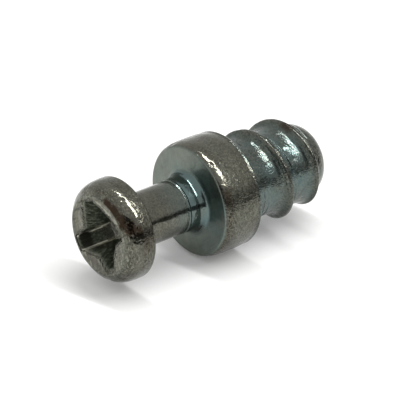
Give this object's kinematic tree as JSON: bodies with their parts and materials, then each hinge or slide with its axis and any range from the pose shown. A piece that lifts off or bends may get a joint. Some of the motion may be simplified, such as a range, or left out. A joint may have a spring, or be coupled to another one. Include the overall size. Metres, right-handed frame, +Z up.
{
  "type": "screw-in dowel",
  "caption": "Steel connector dowel with a round cross-recess head, a slim neck for a cam, a barrel collar and a coarse self-cutting thread.",
  "frame": {"origin": "on the ground, under the middle of the dowel's length, where it lies on its collar", "axes": "+X along the axis from the head to the threaded tip, +Z up"},
  "size_m": [0.0164, 0.0072, 0.0073],
  "materials": {
    "zinc_plated_steel": "bright zinc plate with a faint blue passivation, satin-glossy, lightly dented"
  },
  "bodies": {
    "root": {"screw_in_dowel": "zinc_plated_steel"}
  },
  "joints": []
}
